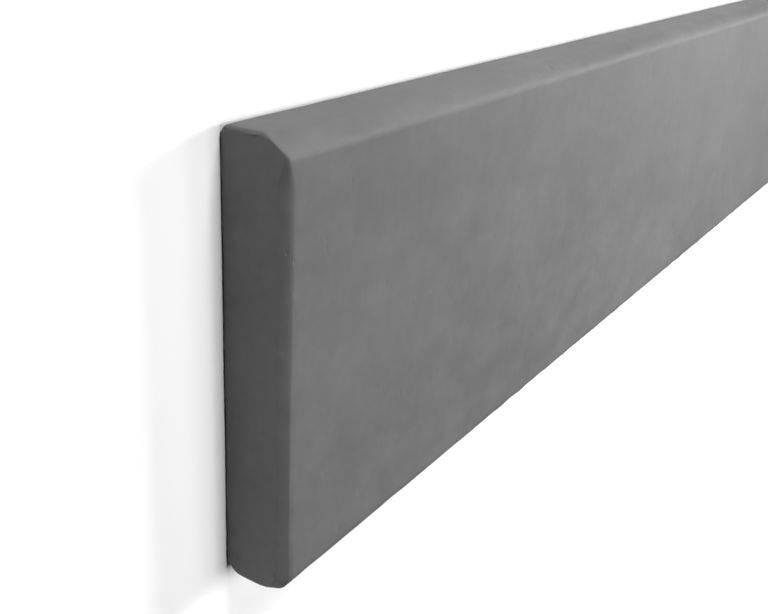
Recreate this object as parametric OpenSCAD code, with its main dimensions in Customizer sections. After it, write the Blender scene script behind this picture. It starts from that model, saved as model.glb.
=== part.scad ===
// Concrete fence plinth: the plank that closes the gap between the ground and a fence.
// It lies on its back face, as it is stored. X runs along it, +Y is its upper edge in the
// fence and +Z its show face. The origin is the centre of the back face.

/* [Plinth] */
// Length from end to end
plinth_l = 2400; // [600:10:3000]
// Height in the fence, from the lower edge to the upper edge
plinth_h = 300; // [120:1:400]
// Thickness from the back face to the show face
plinth_t = 50; // [45:0.5:80]

/* [Rounded edges] */
// Radius along the upper edge of the show face
upper_show_r = 16; // [2:0.5:24]
// Radius along the lower edge of the show face
lower_show_r = 16; // [2:0.5:24]
// Radius along the lower edge of the back face
lower_back_r = 12; // [2:0.5:18]
// Radius along the upper edge of the back face
upper_back_r = 6; // [2:0.5:18]
// Radius round the outline of both ends
end_r = 8; // [1:0.5:10]

/* [Hidden] */
$fn = 96;
QUARTER = 90;

// The four long edges in turn: side i of the section faces 90 * i degrees from +Y towards +Z
// and comes before edge i, and side i + 1 comes after it
RADII = [upper_show_r, lower_show_r, lower_back_r, upper_back_r];
CORNERS = [
    [plinth_h / 2, plinth_t],
    [-plinth_h / 2, plinth_t],
    [-plinth_h / 2, 0],
    [plinth_h / 2, 0]
];
EDGES = [0, 1, 2, 3];

// How deep the strips along the straight sides go, so that they run well into the core
strip_depth = 2 * end_r;

function after(i) = (i + 1) % len(EDGES);
function facing(i) = [cos(QUARTER * i), sin(QUARTER * i)];

// How far edge i reaches from its sharp corner: over its own arc, or over the rounding of
// the ends where that is the larger
function reach(i) = max(RADII[i], end_r);
function hub(i) = CORNERS[i] - reach(i) * (facing(i) + facing(i + 1));

// The section drawn in by end_r at edge i: one point where nothing of the arc is left
function inner_points(i) =
    RADII[i] > end_r
        ? [for (side = [i, i + 1]) hub(i) + (RADII[i] - end_r) * facing(side)]
        : [hub(i)];

// Stands a shape up, so that its X, Y and Z run along the plank's Y, Z and X
module along_plank() {
    rotate([90, 0, 90]) children();
}

// Half of the plank's outline from x = 0 out to x = depth, with its two outer corners rounded
module long_outline(depth) {
    intersection() {
        translate([0, -plinth_l / 2]) square([depth, plinth_l]);
        union() {
            translate([-depth, -plinth_l / 2 + end_r]) square([2 * depth, plinth_l - 2 * end_r]);
            translate([-depth, -plinth_l / 2]) square([2 * depth - end_r, plinth_l]);
            for (end = [-1, 1])
                translate([depth - end_r, end * (plinth_l / 2 - end_r)]) circle(end_r);
        }
    }
}

// The middle of the plank, which runs its whole length
module core() {
    along_plank()
        linear_extrude(plinth_l, center = true)
            polygon([for (i = EDGES) each inner_points(i)]);
}

// A long edge wide enough to carry the rounding of the ends round its arc
module spun_edge(radius) {
    rotate_extrude(angle = QUARTER) long_outline(radius);
}

// A quarter round between x and y, with flats beside it out to end_r on both
module sharp_corner(radius) {
    square([end_r, end_r - radius]);
    square([end_r - radius, end_r]);
    translate([end_r - radius, end_r - radius]) circle(radius);
}

// What a shape and its mirror image across x = y have in common
module both_ways() {
    intersection() {
        children();
        mirror([1, -1, 0]) children();
    }
}

// A sharper long edge, where the rounding of the ends meets itself in a mitre
module mitred_edge(radius) {
    intersection() {
        linear_extrude(plinth_l, center = true) sharp_corner(radius);
        both_ways()
            translate([0, end_r, 0])
                rotate([90, 0, 0])
                    linear_extrude(end_r)
                        long_outline(end_r);
    }
}

// Long edge i, in its place
module long_edge(i) {
    translate([0, hub(i)[0], hub(i)[1]])
        rotate([QUARTER * i, 0, 0])
            along_plank()
                if (RADII[i] < end_r) mitred_edge(RADII[i]);
                else spun_edge(RADII[i]);
}

// The strip under the straight side between edge i and the next
module side_strip(i) {
    start = hub(i) + reach(i) * facing(i + 1);
    end = hub(after(i)) + reach(after(i)) * facing(i + 1);
    translate([0, start[0], start[1]])
        rotate([QUARTER * (i + 1), 0, 0])
            linear_extrude(norm(end - start))
                rotate(QUARTER)
                    translate([-strip_depth, 0])
                        long_outline(strip_depth);
}

// The whole cast plank
module plinth() {
    color([0.47, 0.47, 0.47])
        union() {
            core();
            for (i = EDGES) {
                long_edge(i);
                side_strip(i);
            }
        }
}

plinth();
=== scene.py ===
import math
import random

import bmesh
import bpy
from mathutils import Matrix, Vector, kdtree, noise


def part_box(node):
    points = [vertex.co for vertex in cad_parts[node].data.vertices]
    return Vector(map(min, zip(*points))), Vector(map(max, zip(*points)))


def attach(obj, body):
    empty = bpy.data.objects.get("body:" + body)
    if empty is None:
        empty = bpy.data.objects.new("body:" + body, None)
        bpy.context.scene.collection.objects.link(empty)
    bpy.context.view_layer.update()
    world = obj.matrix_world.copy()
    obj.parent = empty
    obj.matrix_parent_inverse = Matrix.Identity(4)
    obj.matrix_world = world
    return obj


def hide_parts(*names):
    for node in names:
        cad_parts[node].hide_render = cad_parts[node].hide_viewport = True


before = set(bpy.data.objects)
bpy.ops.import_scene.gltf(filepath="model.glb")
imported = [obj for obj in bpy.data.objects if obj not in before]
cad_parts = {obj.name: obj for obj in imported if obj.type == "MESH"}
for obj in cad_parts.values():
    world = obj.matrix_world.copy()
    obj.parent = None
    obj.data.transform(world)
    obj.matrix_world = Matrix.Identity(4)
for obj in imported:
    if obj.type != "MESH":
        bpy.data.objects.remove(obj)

scene = bpy.context.scene
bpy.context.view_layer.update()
low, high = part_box("plinth")
nearEnd = Vector((low.x, (low.y + high.y) / 2, low.z))  # lights are placed from here
halfLength = (high.x - low.x) / 2
samePlace = 1e-6  # two places closer than this are one
print("frame loaded, plinth from", tuple(low), "to", tuple(high))


# the cast plank: X runs along it, Y up to its upper edge and Z out to its show face

plinth = {
    "upperShowRadius": 0.0175,  # the four long edges
    "lowerShowRadius": 0.016,
    "lowerBackRadius": 0.012,
    "upperBackRadius": 0.006,
    "endRadius": 0.008,         # the edge round both ends
    "endSteps": 6,              # mesh rings round it
    "arcStep": 0.0022,          # mesh spacing round the long edges
    "cell": 0.006,              # mesh spacing on the flats
    "arrisStart": 17,           # degrees over which the show edges keep to the plane of the face
    "arrisEnd": 60,             # degrees where they're truly round again
    # the end rounding, which is full only near the show face
    "rimSag": 0.0006,           # how far it's drawn in from a true arc
    "rimSkew": 0.000175,        # how much of that is shifted towards the end face
    "rimShare": 0.3,            # how much of it is left elsewhere
    "rimReach": 0.012,          # how far it takes to grow from that to full
    "topReach": 0.02,           # and how far it takes below the upper edge,
    "topFade": 1.5,             # where it's full from this many topReach down
    "crispGrowth": 1.4,         # how soon, going down the end, its show edge turns crisp
    "crispDepth": 0.005,        # how far along the plank the crisp edge goes
    "crispCurve": 1.5,          # 1 makes the crisp edge a flat chamfer, more rounds it
    # unevenness: how far it goes, over what distance, and which part of the noise it reads
    "swell": (0.00035, 0.22, 3),        # slow, all over
    "ripple": (0.00012, 0.05, 11),      # shallow marks of the mould's lining
    "edgeWander": (0.00045, 0.02, 19),  # on the rounded edges, which are less even
    "edgeGrowth": 6,            # how soon a turning surface counts as a rounded edge
    # wear of the near end
    "rubbedTop": 0.0175,        # its upper corner is rubbed flat: how far back over the top,
    "rubbedFace": 0.0108,       # how far down the show face
    "rubbedLength": 0.02,       # and how far along the edge
    "rubbedShare": 0.8,         # how much of what stands over that flat is gone
    "lean": 0.0021,             # how far the end stands back at the back face
    "leanLength": 0.05,
    # air holes and knocks, each one a bowl let into the surface
    "seed": 7,
    "holes": 90,                # on the flats
    "holeRadius": (0.0005, 0.0011),
    "holeDepth": 0.3,           # in radii
    "flatAbove": 0.999,         # how squarely a place faces out if it's on a flat
    "knocks": 30,               # along the rounded edges
    "knockRadius": (0.002, 0.006),
    "knockDepth": 0.08,         # in radii
    "roundBelow": 0.97,         # how squarely a place faces out if it's on a rounded edge
    "apart": 0.03,              # no two of them are closer than this
    "bowlCurve": 0.8,           # 0.5 makes the bowl part of a ball, 1 makes it a shallow dish
    "cuts": 6,                  # extra mesh in the cells that a bowl touches
    "cellReach": 0.75,          # in cells, from the middle of a cell to just past its corner
    # bowls in known places: out from the near end, up from the lower edge, in from the show
    # face, radius, and depth, which is less than nothing for a grain that stands out
    "knownBowls": [
        (0.0005, 0.2975, 0.0255, 0.0011, -0.0012),
        (0.001, 0.2975, 0.0455, 0.0012, -0.0008),
        (0.002, 0.236, 0.003, 0.0011, 0.0004),
        (0.007, 0.229, 0.000, 0.0012, 0.0004),
        (0.009, 0.212, 0.000, 0.0010, 0.0003),
        (0.002, 0.067, 0.006, 0.0009, 0.0005),
        (0.058, 0.024, 0.000, 0.0035, 0.0002),
        (0.002, 0.177, 0.009, 0.0012, 0.0006),
        (0.000, 0.229, 0.030, 0.0020, 0.00014),
        (0.039, 0.234, 0.000, 0.0022, 0.00018),
        (0.039, 0.229, 0.000, 0.0018, 0.00014),
        (0.062, 0.264, 0.000, 0.0018, 0.00014),
        (0.081, 0.177, 0.000, 0.0019, 0.00014),
        (0.109, 0.106, 0.000, 0.0020, 0.00014),
        (0.133, 0.092, 0.000, 0.0024, 0.00018),
        (0.169, 0.159, 0.000, 0.0021, 0.00014),
        (0.082, 0.040, 0.000, 0.0020, 0.00014),
        (0.113, 0.070, 0.000, 0.0021, 0.00014),
        (0.040, 0.163, 0.000, 0.0018, 0.00014),
        (0.035, 0.119, 0.000, 0.0019, 0.00014),
        (0.503, 0.104, 0.000, 0.0044, 0.00027),
        (0.026, 0.021, 0.000, 0.0025, -0.00014),
        (0.145, 0.161, 0.000, 0.0024, -0.00014),
        (0.104, 0.059, 0.000, 0.0020, -0.00014),
        (0.150, 0.202, 0.000, 0.0019, -0.00014),
        (0.054, 0.101, 0.000, 0.0016, -0.00009),
        (0.023, 0.233, 0.000, 0.0015, -0.00009),
        (0.092, 0.193, 0.000, 0.0016, -0.00009),
        (0.538, 0.048, 0.000, 0.0037, -0.00018),
    ],
}


def ease(share):
    # from 0 to 1 with a soft start and end
    share = min(1, max(0, share))
    return share * share * (3 - 2 * share)


def arrisLift(angle, radius, shape):
    # how far a show edge stands out from its arc, so that the flat face runs on and ends in an arris
    start, end = math.radians(shape["arrisStart"]), math.radians(shape["arrisEnd"])
    lift = radius * (1 / math.cos(min(angle, start)) - 1)
    return lift * max(0, min(1, (end - angle) / (end - start)))


def liftArris(bm, side, radius, shape):
    # side is 1 for the upper edge and -1 for the lower one
    slack = 0.01  # leaves out the points where the arc starts and ends
    hub = Vector((0, (high.y if side > 0 else low.y) - side * radius, high.z - radius))
    for vert in bm.verts:
        spoke = vert.co - hub
        spoke.x = 0
        angle = math.atan2(spoke.y * side, spoke.z)
        if slack < angle < math.pi / 2 - slack and spoke.length < radius * (1 + slack):
            vert.co += spoke.normalized() * arrisLift(angle, radius, shape)


def sectionFace(bm, shape):
    # the section at the near end, with its corners rounded one by one
    corners = [
        (high.y, high.z, shape["upperShowRadius"]),
        (low.y, high.z, shape["lowerShowRadius"]),
        (low.y, low.z, shape["lowerBackRadius"]),
        (high.y, low.z, shape["upperBackRadius"]),
    ]
    verts = [bm.verts.new((low.x, y, z)) for y, z, radius in corners]
    bm.faces.new(verts)
    for vert, (y, z, radius) in zip(verts, corners):
        steps = round(radius * math.pi / 2 / shape["arcStep"])
        bmesh.ops.bevel(
            bm, geom=[vert], offset=radius, offset_type="OFFSET", segments=steps,
            profile=0.5, affect="VERTICES", material=-1)
    liftArris(bm, 1, shape["upperShowRadius"], shape)
    liftArris(bm, -1, shape["lowerShowRadius"], shape)
    for edge in [e for e in bm.edges if e.calc_length() > 2 * shape["cell"]]:
        cuts = round(edge.calc_length() / shape["cell"]) - 1
        bmesh.ops.subdivide_edges(bm, edges=[edge], cuts=cuts)
    return bm.faces[:]


def endFaces(bm, x):
    return [f for f in bm.faces if all(abs(v.co.x - x) < samePlace for v in f.verts)]


def edgesOf(faces):
    # each edge once, in the same order at every run, which a set wouldn't give
    return list(dict.fromkeys(e for f in faces for e in f.edges))


def mitreBackCorners(bm, shape):
    # the ends are rounded wider than the upper back edge, so there both roundings meet in a mitre
    radius = shape["upperBackRadius"] - samePlace
    rings = {}
    for vert in bm.verts:
        inEdge, inBack = high.y - vert.co.y, vert.co.z - low.z
        if radius < max(inEdge, inBack) < shape["endRadius"] and min(inEdge, inBack) > radius:
            rings.setdefault(round(vert.co.x, 6), []).append(vert)  # a ring to each x
    for ring in rings.values():
        depth = max(max(high.y - v.co.y, v.co.z - low.z) for v in ring)
        for vert in ring:
            vert.co.y, vert.co.z = high.y - depth, low.z + depth


def rimMove(vert, end, shape):
    # how a point of the end rounding moves from the even bevel to its place
    radius = shape["endRadius"]
    depth = abs(vert.co.x - end)
    angle = math.acos(1 - depth / radius)
    deep = ease((high.z - vert.co.z - radius) / shape["rimReach"])
    top = ease(shape["topFade"] - (high.y - vert.co.y) / shape["topReach"])
    away = max(deep, top)  # 0 beside the show face, 1 elsewhere
    less = away * (1 - shape["rimShare"])  # how much of the rounding is missing
    down = (high.y - vert.co.y) / (high.y - low.y)
    crisp = ease(shape["crispGrowth"] * down) * (1 - away)
    sag = shape["rimSag"] * math.sin(2 * angle) + shape["rimSkew"] * math.sin(4 * angle)
    outward = Vector((0, vert.normal.y, vert.normal.z)).normalized()
    move = outward * radius * (1 - math.sin(angle)) * less
    move -= vert.normal * sag * (1 - less) * (1 - crisp)
    crispDepth = shape["crispDepth"] * math.sin(angle) ** shape["crispCurve"]
    kept = depth * (1 - less) * (1 - crisp) + crispDepth * crisp
    move.x += kept - depth if end == low.x else depth - kept
    return move


def shapeRims(bm, shape):
    bm.normal_update()
    moves = []
    for vert in bm.verts:
        end = low.x if vert.co.x < low.x + halfLength else high.x
        if abs(vert.co.x - end) < shape["endRadius"]:
            moves.append((vert, rimMove(vert, end, shape)))
    for vert, move in moves:
        vert.co += move
        vert.co.y, vert.co.z = min(vert.co.y, high.y), max(vert.co.z, low.z)


def castBody(bm, shape):
    extruded = bmesh.ops.extrude_face_region(bm, geom=sectionFace(bm, shape))
    moved = [g for g in extruded["geom"] if isinstance(g, bmesh.types.BMVert)]
    bmesh.ops.translate(bm, verts=moved, vec=(high.x - low.x, 0, 0))
    rims = [e for x in (low.x, high.x) for f in endFaces(bm, x) for e in f.edges]
    justShort = 0.98      # so that the last ring still lies within the end radius
    mergeWithin = 0.0002  # points crowd together where the roundings meet
    bmesh.ops.bevel(
        bm, geom=rims, offset=shape["endRadius"] * justShort, offset_type="OFFSET",
        segments=shape["endSteps"], profile=0.5, affect="EDGES", material=-1, clamp_overlap=False)
    mitreBackCorners(bm, shape)
    bmesh.ops.remove_doubles(bm, verts=bm.verts[:], dist=mergeWithin)
    shapeRims(bm, shape)


def cutIntoCells(bm, shape):
    # even cells along the plank, and a grid over both ends, so that the relief has points to move
    cell = shape["cell"]
    snap = 1e-5  # points this near a cut are on it
    long = [e for e in bm.edges if abs(e.verts[0].co.x - e.verts[1].co.x) > halfLength]
    cuts = round(long[0].calc_length() / cell) - 1
    bmesh.ops.subdivide_edges(bm, edges=long, cuts=cuts, use_grid_fill=True)
    for x in (low.x, high.x):
        for axis, start, stop in ((1, low.y, high.y), (2, low.z, high.z)):
            normal = [0, 0, 0]
            normal[axis] = 1
            for step in range(1, round((stop - start) / cell)):
                point = [x, 0, 0]
                point[axis] = start + step * cell + cell / 2
                faces = endFaces(bm, x)
                geom = faces + edgesOf(faces)
                bmesh.ops.bisect_plane(bm, geom=geom, plane_co=point, plane_no=normal, dist=snap)


def markRims(bm):
    # the edge where the end rounding leaves the end face is shaded sharp
    for x in (low.x, high.x):
        for face in endFaces(bm, x):
            for edge in face.edges:
                inner = all(abs(v.co.x - x) < samePlace for f in edge.link_faces for v in f.verts)
                edge.smooth = inner


def wander(point, size, seed):
    # smooth noise from about -1 to 1
    return noise.noise(Vector(point) / size + Vector((seed, seed * 1.7, seed * 2.3)))


def addRelief(bm, shape):
    bm.normal_update()
    moves = []
    for vert in bm.verts:
        flatness = max(abs(c) for c in vert.normal)
        rounded = min(1, (1 - flatness) * shape["edgeGrowth"])
        move = 0
        for name, share in (("swell", 1), ("ripple", 1), ("edgeWander", rounded)):
            reach, size, seed = shape[name]
            move += reach * share * wander(vert.co, size, seed)
        moves.append((vert, vert.normal * move))
    for vert, move in moves:
        vert.co += move


def wearNearEnd(bm, shape):
    # the end leans back a little, and its upper corner is rubbed flat
    over = Vector((0, 1 / shape["rubbedFace"], 1 / shape["rubbedTop"]))
    for vert in bm.verts:
        along = vert.co.x - low.x
        proud = (1 - over.dot(high - vert.co)) * ease(1 - along / shape["rubbedLength"])
        if proud > 0:
            vert.co -= over * shape["rubbedShare"] * proud / over.length_squared
        back = (high.z - vert.co.z) / (high.z - low.z)
        vert.co.x += shape["lean"] * back * ease(1 - along / shape["leanLength"])


def treeOf(places):
    tree = kdtree.KDTree(len(places))
    for index, place in enumerate(places):
        tree.insert(place, index)
    tree.balance()
    return tree


def chooseBowls(bm, shape):
    # centre, normal, radius and depth of every bowl, the known ones first
    chance = random.Random(shape["seed"])
    bm.normal_update()
    verts = bm.verts[:]
    tree = treeOf([v.co for v in verts])
    bowls = []
    for along, up, inward, radius, depth in shape["knownBowls"]:
        spot = Vector((low.x + along, low.y + up, high.z - inward))
        place, index, gap = tree.find(spot)
        bowls.append((place, verts[index].normal.copy(), radius, depth))
    onRound = [v for v in verts if max(abs(c) for c in v.normal) < shape["roundBelow"]]
    onFlat = [v for v in verts if max(abs(v.normal.y), abs(v.normal.z)) > shape["flatAbove"]]
    for pool, count, sizes, share in (
        (onFlat, shape["holes"], shape["holeRadius"], shape["holeDepth"]),
        (onRound, shape["knocks"], shape["knockRadius"], shape["knockDepth"]),
    ):
        while count:
            vert = chance.choice(pool)
            if all((vert.co - b[0]).length > shape["apart"] for b in bowls):
                # anywhere in the cell round the point, along the surface
                shift = Vector([chance.uniform(-0.5, 0.5) * shape["cell"] for axis in range(3)])
                shift -= vert.normal * shift.dot(vert.normal)
                radius = sizes[0] + (sizes[1] - sizes[0]) * chance.random() ** 2  # mostly small
                bowls.append((vert.co + shift, vert.normal.copy(), radius, radius * share))
                count -= 1
    return bowls


def addBowls(bm, shape):
    bowls = chooseBowls(bm, shape)
    faces = bm.faces[:]
    tree = treeOf([f.calc_center_median() for f in faces])
    reach = shape["cell"] * shape["cellReach"]
    touched = []
    for centre, normal, radius, depth in bowls:
        for place, index, gap in tree.find_range(centre, radius + reach):
            touched.append(faces[index])
    bmesh.ops.subdivide_edges(bm, edges=edgesOf(touched), cuts=shape["cuts"], use_grid_fill=True)
    verts = bm.verts[:]
    tree = treeOf([v.co for v in verts])
    for centre, normal, radius, depth in bowls:
        for place, index, gap in tree.find_range(centre, radius):
            verts[index].co -= normal * depth * (1 - (gap / radius) ** 2) ** shape["bowlCurve"]


def makePlinth(shape):
    bm = bmesh.new()
    castBody(bm, shape)
    cutIntoCells(bm, shape)
    bmesh.ops.recalc_face_normals(bm, faces=bm.faces[:])
    markRims(bm)
    addRelief(bm, shape)
    wearNearEnd(bm, shape)
    addBowls(bm, shape)
    for vert in bm.verts:
        vert.co.z = max(vert.co.z, low.z)  # nothing goes below the floor
    mesh = bpy.data.meshes.new("castPlank")
    bm.to_mesh(mesh)
    bm.free()
    mesh.shade_smooth()
    piece = bpy.data.objects.new("castPlank", mesh)
    scene.collection.objects.link(piece)
    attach(piece, "root")
    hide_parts("plinth")
    return piece


castPlank = makePlinth(plinth)
castPlank.data.calc_loop_triangles()
print("plank made:", len(castPlank.data.loop_triangles), "triangles")


# the concrete

concrete = {
    "colour": 0.1135,           # a plain grey
    "paintedEdgeHighlight": 0.2,            # painted highlight: how much paler the rounded upper edge of the show face is painted, where the lights fall on it most
    # layers of the colour: noise scale, detail, stretch of its coordinates, and how much of the
    # colour it takes away or adds
    "clouds": (12, 2, (0.7, 1, 1), 0.2),
    "blotches": (38, 3, (0.8, 1, 1), 0.18),
    "patches": (110, 2, (1, 0.9, 1), 0.105),
    "streaks": (150, 2, (1, 0.5, 1), 0.02),
    "grain": (420, 2, (1, 1, 1), 0.02),
    "flecksPerMetre": 75,       # sparse paler and darker flecks, longer up the face than along it
    "fleckStretch": (1, 0.5, 1),
    "fleckReach": 0.12,         # in cells
    "fleckCore": 0.4,           # how much of that has its full strength
    "fleckShare": 0.2,
    "roughness": (0.6, 0.7),    # varies with the blotches
    "blotchRange": (0.3, 0.7),  # most of their noise lies in here
    "gloss": 0.3,
    "grainHeight": 0.00006,
    "skinHeight": 0.00006,
}


def newMaterial(name):
    material = bpy.data.materials.new(name)
    material.use_nodes = True
    return material, material.node_tree, material.node_tree.nodes["Principled BSDF"]


def mathNode(tree, operation, *values):
    node = tree.nodes.new("ShaderNodeMath")
    node.operation = operation
    for socket, value in zip(node.inputs, values):
        if isinstance(value, bpy.types.NodeSocket):
            tree.links.new(value, socket)
        else:
            socket.default_value = value
    return node.outputs[0]


def stretchNode(tree, place, stretch):
    node = tree.nodes.new("ShaderNodeVectorMath")
    node.operation = "MULTIPLY"
    tree.links.new(place, node.inputs[0])
    node.inputs[1].default_value = stretch
    return node.outputs[0]


def noiseLayer(tree, place, layer):
    # what the layer adds to the colour, and its plain noise
    scale, detail, stretch, share = layer
    texture = tree.nodes.new("ShaderNodeTexNoise")
    texture.inputs["Scale"].default_value = scale
    texture.inputs["Detail"].default_value = detail
    tree.links.new(stretchNode(tree, place, stretch), texture.inputs["Vector"])
    centred = mathNode(tree, "SUBTRACT", texture.outputs["Fac"], 0.5)
    return mathNode(tree, "MULTIPLY", centred, 2 * share), texture.outputs["Fac"]


def fleckLayer(tree, place, look):
    # round the middle of each cell, paler or darker by the cell's own random value
    cells = tree.nodes.new("ShaderNodeTexVoronoi")
    cells.inputs["Scale"].default_value = look["flecksPerMetre"]
    tree.links.new(stretchNode(tree, place, look["fleckStretch"]), cells.inputs["Vector"])
    inside = tree.nodes.new("ShaderNodeMapRange")
    tree.links.new(cells.outputs["Distance"], inside.inputs["Value"])
    inside.inputs["From Min"].default_value = look["fleckReach"]
    inside.inputs["From Max"].default_value = look["fleckReach"] * look["fleckCore"]
    own = tree.nodes.new("ShaderNodeSeparateColor")
    tree.links.new(cells.outputs["Color"], own.inputs["Color"])
    centred = mathNode(tree, "SUBTRACT", own.outputs["Red"], 0.5)
    mostlyFaint = mathNode(tree, "POWER", mathNode(tree, "MULTIPLY", centred, 2), 3)
    fleck = mathNode(tree, "MULTIPLY", inside.outputs["Result"], mostlyFaint)
    return mathNode(tree, "MULTIPLY", fleck, look["fleckShare"])


def paintedEdgeHighlightLayer(tree, look):
    # painted highlight: the upper show edge faces up and out at once, so it is painted paler there, as
    # the lights would brighten it
    facing = tree.nodes.new("ShaderNodeSeparateXYZ")
    place = tree.nodes.new("ShaderNodeTexCoord")
    tree.links.new(place.outputs["Normal"], facing.inputs["Vector"])
    both = mathNode(tree, "MULTIPLY", facing.outputs["Y"], facing.outputs["Z"])
    highlightShare = mathNode(tree, "MAXIMUM", both, 0)
    return mathNode(tree, "MULTIPLY", highlightShare, 2 * look["paintedEdgeHighlight"])


def concreteFinish(look):
    material, tree, shader = newMaterial("castConcrete")
    place = tree.nodes.new("ShaderNodeTexCoord").outputs["Object"]
    tone = 1.0
    fields = {}
    for name in ("clouds", "blotches", "patches", "streaks", "grain"):
        change, fields[name] = noiseLayer(tree, place, look[name])
        tone = mathNode(tree, "ADD", change, tone)
    tone = mathNode(tree, "ADD", fleckLayer(tree, place, look), tone)
    # painted highlight along the upper show edge
    tone = mathNode(tree, "ADD", paintedEdgeHighlightLayer(tree, look), tone)
    value = mathNode(tree, "MULTIPLY", tone, look["colour"])
    colour = tree.nodes.new("ShaderNodeCombineColor")
    for socket in colour.inputs:
        tree.links.new(value, socket)
    tree.links.new(colour.outputs["Color"], shader.inputs["Base Color"])

    rough = tree.nodes.new("ShaderNodeMapRange")
    tree.links.new(fields["blotches"], rough.inputs["Value"])
    rough.inputs["From Min"].default_value, rough.inputs["From Max"].default_value = look["blotchRange"]
    rough.inputs["To Min"].default_value, rough.inputs["To Max"].default_value = look["roughness"]
    tree.links.new(rough.outputs["Result"], shader.inputs["Roughness"])
    shader.inputs["Specular IOR Level"].default_value = look["gloss"]

    height = mathNode(tree, "MULTIPLY", fields["grain"], look["grainHeight"])
    skin = mathNode(tree, "MULTIPLY", fields["blotches"], look["skinHeight"])
    bump = tree.nodes.new("ShaderNodeBump")
    bump.inputs["Distance"].default_value = 1
    tree.links.new(mathNode(tree, "ADD", height, skin), bump.inputs["Height"])
    tree.links.new(bump.outputs["Normal"], shader.inputs["Normal"])
    return material


castPlank.data.materials.append(concreteFinish(concrete))
print("concrete finish made")


# the floor, the lights and the camera

studio = {
    "floorSize": 16,
    "floorColour": (0.95, 0.95, 0.95),
    "floorRoughness": 0.9,
    "floorGloss": 0.1,
    "skyStrength": 0.02,
    # side of the square light, its power, where it is and where it points, from the near end,
    # and how many degrees it spreads over
    "lights": {
        "key": (1.1, 126, (3.8, 0.5, 2.4), (1.2, 0, 0), 180),
        "edge": (1.0, 57, (0.1, 2.4, 1.5), (0.3, 0, 0), 180),
        "overhead": (1.0, 20, (0, 0, 2.0), (0.2, 0, 0), 180),
        "middle": (0.5, 2.4, (0.9, -0.2, 1.5), (0.85, -0.1, 0), 80),
        "backdrop": (1.0, 13, (2.6, -1.8, 2.2), (2.6, -1.8, 0), 80),
    },
}


def makeFloor(look):
    bm = bmesh.new()
    bmesh.ops.create_grid(bm, x_segments=1, y_segments=1, size=look["floorSize"] / 2)
    mesh = bpy.data.meshes.new("floor")
    bm.to_mesh(mesh)
    bm.free()
    floor = bpy.data.objects.new("floor", mesh)
    scene.collection.objects.link(floor)
    material, tree, shader = newMaterial("paleFloor")
    shader.inputs["Base Color"].default_value = (*look["floorColour"], 1)
    shader.inputs["Roughness"].default_value = look["floorRoughness"]
    shader.inputs["Specular IOR Level"].default_value = look["floorGloss"]
    mesh.materials.append(material)


def makeLights(look):
    world = bpy.data.worlds.new("studio")
    world.use_nodes = True
    background = world.node_tree.nodes["Background"]
    background.inputs["Color"].default_value = (1, 1, 1, 1)
    background.inputs["Strength"].default_value = look["skyStrength"]
    scene.world = world
    for name, (side, power, place, aim, spread) in look["lights"].items():
        light = bpy.data.lights.new(name, "AREA")
        light.shape = "SQUARE"
        light.size = side
        light.energy = power
        light.spread = math.radians(spread)
        lamp = bpy.data.objects.new(name, light)
        lamp.location = nearEnd + Vector(place)
        ray = nearEnd + Vector(aim) - lamp.location
        lamp.rotation_euler = ray.to_track_quat("-Z", "Y").to_euler()
        scene.collection.objects.link(lamp)


view = {
    "lens": 47.64,
    "sensorWidth": 36,
    "clip": (0.01, 50),
    "beyondEnd": 0.4207,   # how far the camera is out past the near end
    "beyondEdge": 0.1261,  # past the upper edge
    "above": 0.3237,       # over the show face
    # in degrees
    "turn": 31.66,         # from looking along the plank towards looking down on it
    "lean": 22.58,         # towards the lower edge
    "roll": 2.88,
}


def makeCamera(look):
    data = bpy.data.cameras.new("camera")
    data.lens = look["lens"]
    data.sensor_width = look["sensorWidth"]
    data.clip_start, data.clip_end = look["clip"]
    turn, lean, roll = (math.radians(look[k]) for k in ("turn", "lean", "roll"))
    ahead = Vector((math.cos(turn) * math.cos(lean), -math.sin(lean), -math.sin(turn) * math.cos(lean)))
    right = ahead.cross(Vector((0, 1, 0))).normalized()
    up = right.cross(ahead)
    tilted = Matrix((right, up, -ahead)).transposed().to_4x4() @ Matrix.Rotation(roll, 4, "Z")
    place = Vector((low.x - look["beyondEnd"], high.y + look["beyondEdge"], high.z + look["above"]))
    camera = bpy.data.objects.new("camera", data)
    camera.matrix_world = Matrix.Translation(place) @ tilted
    scene.collection.objects.link(camera)
    scene.camera = camera


makeFloor(studio)
makeLights(studio)
makeCamera(view)
scene.view_settings.view_transform = "Standard"
print("floor, lights and camera made")
